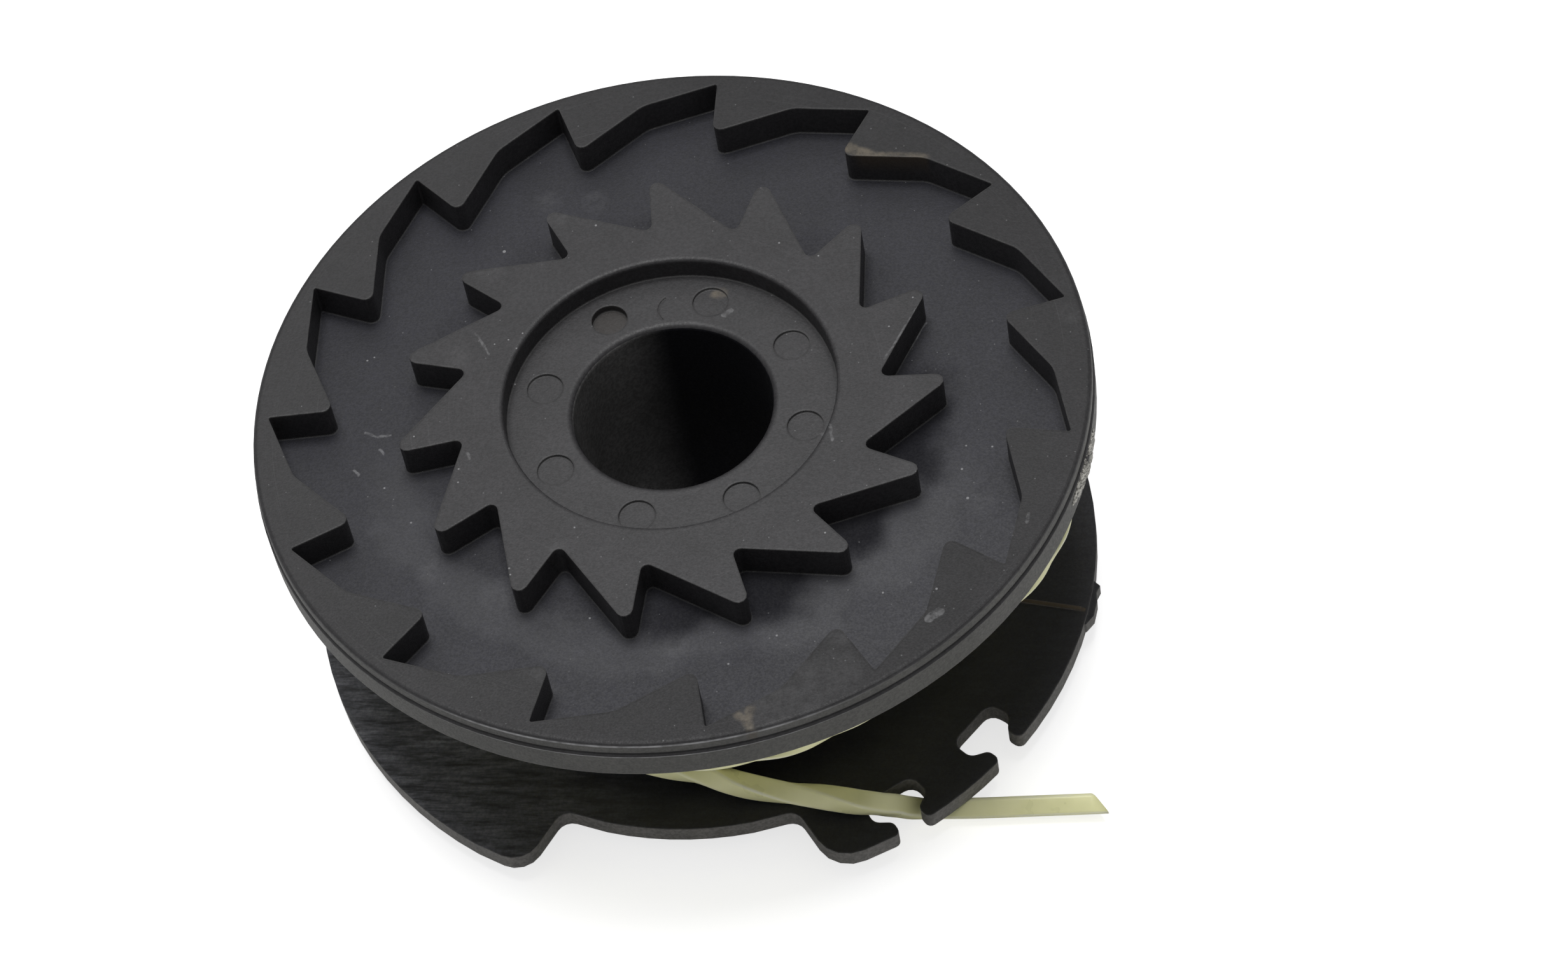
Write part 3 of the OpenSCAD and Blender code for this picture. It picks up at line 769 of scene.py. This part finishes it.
def line_route(layers, step, fine_step):
    """The whole line's centre in metres, from its inner end in the drum to its free end.

    Its points lie step apart along the winding, and fine_step apart from there on.
    """
    lean = math.radians(HOLE_AT + HOLE_LEAN)
    mouth = np.array(polar(DRUM_R, HOLE_AT, HOLE_Z))
    along = np.array([math.cos(lean), math.sin(lean), 0.0])
    inner = mouth + np.array(TAIL_POINTS)[:, None] * along
    turns = wound_layers(layers)
    loose = np.asarray(LOOSE_TURN, float)
    tail = smooth_path(np.vstack([inner, polar(*HOLE_EXIT, HOLE_Z), turns[:2]]), 8)[:-8]
    end = smooth_path(np.vstack([turns[-2:], ring_points(*loose.T), FREE_END]), 12)[12:]
    wound = np.vstack([tail, turns[1:-2]])
    route = np.vstack([wound, end])
    run = np.r_[0, np.cumsum(np.linalg.norm(np.diff(route, axis=0), axis=1))]
    leaves = run[len(wound)]
    coarse = np.linspace(0, leaves, int(leaves / (step / MM)) + 1)
    fine = np.linspace(leaves, run[-1], int((run[-1] - leaves) / (fine_step / MM)) + 1)
    spaced = np.r_[coarse, fine[1:]]
    return np.column_stack([np.interp(spaced, run, route[:, i]) for i in range(3)]) * MM


def square_section(side, corner, per_corner):
    """Rounded square: each corner's centre (+-h, +-h) plus the corner radius at its angles.

    Also gives how near each point is to a corner's middle, from 0 at the flat to 1.
    """
    half = side / 2 - corner
    quarter = np.linspace(0, math.pi / 2, per_corner)
    angle = (quarter[None, :] + np.arange(4)[:, None] * math.pi / 2)
    sign = np.array([[1, 1], [-1, 1], [-1, -1], [1, -1]], float)
    ring = sign[:, None, :] * half + corner * np.stack([np.cos(angle), np.sin(angle)], axis=-1)
    near = np.sin(np.tile(np.linspace(0, math.pi, per_corner), 4))
    return ring.reshape(-1, 2), near


def carried_frame(path):
    """Two side directions along a path, both square to it and to each other.

    up is (0, 0, 1) less its part along the tangent, made 1 long, and out is tangent x up.
    """
    tangent = np.gradient(path, axis=0)
    tangent /= np.linalg.norm(tangent, axis=1)[:, None]
    up = np.array([0.0, 0.0, 1.0]) - tangent * tangent[:, 2:3]
    up /= np.linalg.norm(up, axis=1)[:, None]
    return np.cross(tangent, up), up


def section_turn(back, twist):
    """Turn of the section, in radians, at distances in metres back from the free end.

    It follows TWIST_TO between the places in TWIST_AT, and past the last of them grows by
    one whole turn in each length of twist.
    """
    beyond = np.maximum(back - TWIST_AT[-1] * MM, 0.0)
    known = np.interp(back, np.array(TWIST_AT) * MM, TWIST_TO)
    return np.radians(known) + 2 * math.pi * beyond / twist


def twisted_line_mesh(path, section, near, twist, cut):
    """Skin of the twisted line, whose section turns as section_turn says.

    Ring k is path[k] + u out + v up of the turned section's two coordinates; both ends are
    closed by one face, and the last ring leans by the oblique cut.
    """
    out, up = carried_frame(path)
    run = np.r_[0, np.cumsum(np.linalg.norm(np.diff(path, axis=0), axis=1))]
    turn = section_turn(run[-1] - run, twist)
    c, s = np.cos(turn)[:, None], np.sin(turn)[:, None]
    u = section[None, :, 0] * c - section[None, :, 1] * s
    v = section[None, :, 0] * s + section[None, :, 1] * c
    skin = path[:, None, :] + u[..., None] * out[:, None, :] + v[..., None] * up[:, None, :]
    tangent = (path[-1] - path[-2]) / np.linalg.norm(path[-1] - path[-2])
    skin[-1] += (u[-1] * cut)[:, None] * tangent
    rings, around = u.shape
    k, j = np.meshgrid(np.arange(rings - 1), np.arange(around), indexing="ij")
    a, b = k * around + j, k * around + (j + 1) % around
    quads = np.stack([a, a + around, b + around, b], axis=-1).reshape(-1, 4)
    faces = quads.tolist()
    faces.append(list(range(around)))
    faces.append(list(range(rings * around - 1, (rings - 1) * around - 1, -1)))
    mesh = bpy.data.meshes.new("twisted_line")
    mesh.from_pydata(skin.reshape(-1, 3), [], faces)
    mesh.update()
    nearness = mesh.attributes.new("corner", "FLOAT", "POINT")
    nearness.data.foreach_set("value", np.tile(near, rings).astype(np.float32))
    smooth = np.ones(len(mesh.polygons), bool)
    smooth[-2:] = False
    mesh.polygons.foreach_set("use_smooth", smooth)
    return mesh


def flash_mesh(seed, across=9, along=90):
    """Frayed strip on the rim: at angle a and share v it lies at radius r(a, v), height z(a, v).

    z = middle + half(a) v + a slow wave, where half swells and thins out along the strip and is
    torn at random; r = rim + lift(a) (1 - v^2) + tear, so the strip bulges in its middle and is
    ragged at both edges. Its back is the same grid a wall's thickness further in.
    """
    proud, lift, deepest_tear = 0.03, 0.28, 0.05
    wave, waves, wave_start = 0.12, 6.0, 0.8
    draw = np.random.default_rng(seed)
    share = np.linspace(0.0, 1.0, along)[:, None]
    v = np.linspace(-1.0, 1.0, across)[None, :]
    swell = np.sin(math.pi * share) ** 0.6
    torn = draw.uniform(0.3, 1.0, (along, 1))
    torn = 0.5 * torn + 0.5 * np.roll(torn, 1, axis=0)
    height = FLASH_MIDDLE + FLASH_HALF * swell * torn * v
    height = height + wave * np.sin(waves * share + wave_start) * swell
    tear = draw.uniform(0.0, deepest_tear, (along, across)) * swell
    radius = FLANGE_R + proud + lift * swell * torn * (1.0 - v ** 2) + tear
    angle = np.broadcast_to(FLASH_FROM + (FLASH_TO - FLASH_FROM) * share, radius.shape)
    shells = [ring_points(r.ravel(), angle.ravel(), height.ravel())
              for r in (radius, radius - FLASH_WALL)]
    points = np.vstack(shells) * MM
    behind = along * across
    index = np.arange(behind).reshape(along, across)
    front = np.stack([index[:-1, :-1], index[1:, :-1], index[1:, 1:], index[:-1, 1:]], axis=-1)
    front = front.reshape(-1, 4)
    back = front[:, ::-1] + behind
    rim = np.r_[index[0, :-1], index[:-1, -1], index[-1, :0:-1], index[:0:-1, 0]]
    after = np.roll(rim, -1)
    wall = np.stack([rim, after, after + behind, rim + behind], axis=-1)
    mesh = bpy.data.meshes.new("rim_flash")
    mesh.from_pydata(points, [], np.vstack([front, back, wall]).tolist())
    mesh.update()
    return mesh


def flash_material(colours):
    """Torn, whitened nylon with dark gaps between its fibres."""
    material = bpy.data.materials.new("torn_whitened_nylon")
    w = Wiring(material)
    at = w.millimetres(w.node("ShaderNodeTexCoord"))
    fibres = w.noise(at, size=0.45, detail=4.0, rough=0.7, stretch=(1.0, 0.5, 3.0))
    base = w.mix(w.ramp(fibres, low=0.35, high=0.62), colours.band, colours.torn)
    shader = w.node("ShaderNodeBsdfPrincipled", {"Base Color": base, "Roughness": 0.6})
    w.node("ShaderNodeOutputMaterial", {0: shader.outputs[0]})
    return material


# ---------------------------------------------------------------- operators

class SPOOL_OT_line(bpy.types.Operator):
    """Makes the line: one twisted square nylon strand from the drum to the hook"""

    bl_idname = "spool.line"
    bl_label = "Twisted line"

    def execute(self, context):
        sizes = context.scene.spool_line
        path = line_route(sizes.layers, sizes.ring_step, sizes.fine_step)
        section, near = square_section(sizes.side, sizes.corner, CORNER_POINTS)
        mesh = twisted_line_mesh(path, section, near, sizes.twist, LINE_CUT)
        line = bpy.data.objects.new("line", mesh)
        context.scene.collection.objects.link(line)
        mesh.materials.append(line_material(context.scene.spool_colours))
        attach(line, BODY)
        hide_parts("line_winding", "line_free_end", "line_tail")
        return {"FINISHED"}


class SPOOL_OT_moulding(bpy.types.Operator):
    """Gives the spool's moulding its black nylon"""

    bl_idname = "spool.moulding"
    bl_label = "Spool moulding"

    def execute(self, context):
        spool = frame["nodes"]["spool_body"]
        if not spool.material_slots:
            raise RuntimeError("the moulding has no material slot")
        material = moulding_material(context.scene.spool_colours)
        for slot in spool.material_slots:
            slot.material = material
        return {"FINISHED"}


class SPOOL_OT_flash(bpy.types.Operator):
    """Lays the frayed strip of flash on the right of the top flange's rim"""

    bl_idname = "spool.flash"
    bl_label = "Frayed flash"

    def execute(self, context):
        mesh = flash_mesh(seed=7)
        strip = bpy.data.objects.new("rim_flash", mesh)
        context.scene.collection.objects.link(strip)
        mesh.materials.append(flash_material(context.scene.spool_colours))
        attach(strip, BODY)
        return {"FINISHED"}


class SPOOL_OT_stage(bpy.types.Operator):
    """Sets up the floor, the lamps, the world and the camera"""

    bl_idname = "spool.stage"
    bl_label = "Studio"

    def execute(self, context):
        scene = context.scene
        studio = scene.spool_studio
        scene.view_settings.view_transform = "Standard"
        self.floor(scene, studio.paper_glow)
        self.world(scene, studio.ambient)
        for name, power, size, azimuth, elevation in LAMPS:
            self.lamp(scene, name, getattr(studio, power), size, azimuth, elevation)
        camera = bpy.data.objects.new("camera", bpy.data.cameras.new("camera"))
        camera.data.lens = studio.lens
        camera.data.sensor_width = 36.0
        camera.data.clip_start = 0.01
        camera.location = studio.place
        camera.rotation_euler = studio.turn
        scene.collection.objects.link(camera)
        scene.camera = camera
        return {"FINISHED"}

    def floor(self, scene, glow_strength):
        """A flat square under the spool's foot that the camera sees as white paper."""
        mesh = bpy.data.meshes.new("floor")
        corners = np.array([[-1, -1, 0], [1, -1, 0], [1, 1, 0], [-1, 1, 0]], float) * FLOOR_REACH
        mesh.from_pydata(corners, [], [(0, 1, 2, 3)])
        floor = bpy.data.objects.new("floor", mesh)
        scene.collection.objects.link(floor)
        material = bpy.data.materials.new("white_paper")
        w = Wiring(material)
        seen = w.node("ShaderNodeLightPath").outputs["Is Camera Ray"]
        paper = w.node("ShaderNodeBsdfDiffuse", {"Color": PAPER})
        strength = w.mul(seen, glow_strength)
        glow = w.node("ShaderNodeEmission", {"Color": (1, 1, 1), "Strength": strength})
        both = w.node("ShaderNodeAddShader", {0: paper.outputs[0], 1: glow.outputs[0]})
        w.node("ShaderNodeOutputMaterial", {0: both.outputs[0]})
        mesh.materials.append(material)

    def world(self, scene, ambient):
        """Dim even light all round, and plain white where the camera sees past the floor."""
        world = bpy.data.worlds.new("studio")
        scene.world = world
        w = Wiring(world)
        path = w.node("ShaderNodeLightPath").outputs
        seen = w.pick(path["Is Camera Ray"], path["Is Transmission Ray"])
        strength = w.add(w.mul(seen, 1.0 - ambient), ambient)
        glow = w.node("ShaderNodeBackground", {"Color": (1, 1, 1), "Strength": strength})
        w.node("ShaderNodeOutputWorld", {0: glow.outputs[0]})

    def lamp(self, scene, name, power, size, azimuth, elevation):
        """A square soft lamp that looks at the spool from a direction in degrees."""
        lean = math.radians(elevation)
        place = polar(LAMP_AWAY * math.cos(lean), azimuth, LAMP_AWAY * math.sin(lean))
        data = bpy.data.lights.new(name, "AREA")
        data.energy = power
        data.size = size
        lamp = bpy.data.objects.new(name, data)
        lamp.location = place
        towards = np.array(LAMP_AIM) - np.array(place)
        tilt = math.acos(-towards[2] / np.linalg.norm(towards))
        lamp.rotation_euler = (tilt, 0.0, math.atan2(towards[1], towards[0]) - math.pi / 2)
        scene.collection.objects.link(lamp)


class SPOOL_PT_panel(bpy.types.Panel):
    """Lists the steps that make the spool"""

    bl_idname = "SPOOL_PT_panel"
    bl_label = "Line Spool"
    bl_space_type = "VIEW_3D"
    bl_region_type = "UI"
    bl_category = "Line Spool"

    def draw(self, context):
        layout = self.layout
        for step in STEPS:
            layout.operator(step.bl_idname, text=step.bl_label)
        for group in ("spool_line", "spool_colours", "spool_studio"):
            box = layout.box()
            settings = getattr(context.scene, group)
            for name in settings.__annotations__:
                box.prop(settings, name)


STEPS = (SPOOL_OT_stage, SPOOL_OT_line, SPOOL_OT_moulding, SPOOL_OT_flash)
GROUPS = {"spool_line": SpoolLineSizes, "spool_colours": SpoolColours,
          "spool_studio": SpoolStudio}


def register():
    """Makes the settings, steps and panel known to Blender."""
    for name, group in GROUPS.items():
        bpy.utils.register_class(group)
        setattr(bpy.types.Scene, name, bpy.props.PointerProperty(type=group))
    for step in (*STEPS, SPOOL_PT_panel):
        bpy.utils.register_class(step)


def unregister():
    """Takes them away again."""
    for step in reversed((*STEPS, SPOOL_PT_panel)):
        bpy.utils.unregister_class(step)
    for name, group in GROUPS.items():
        delattr(bpy.types.Scene, name)
        bpy.utils.unregister_class(group)


def main():
    """Runs the steps in order."""
    register()
    bpy.ops.spool.stage()
    bpy.ops.spool.line()
    bpy.ops.spool.moulding()
    bpy.ops.spool.flash()


if __name__ == "__main__":
    main()
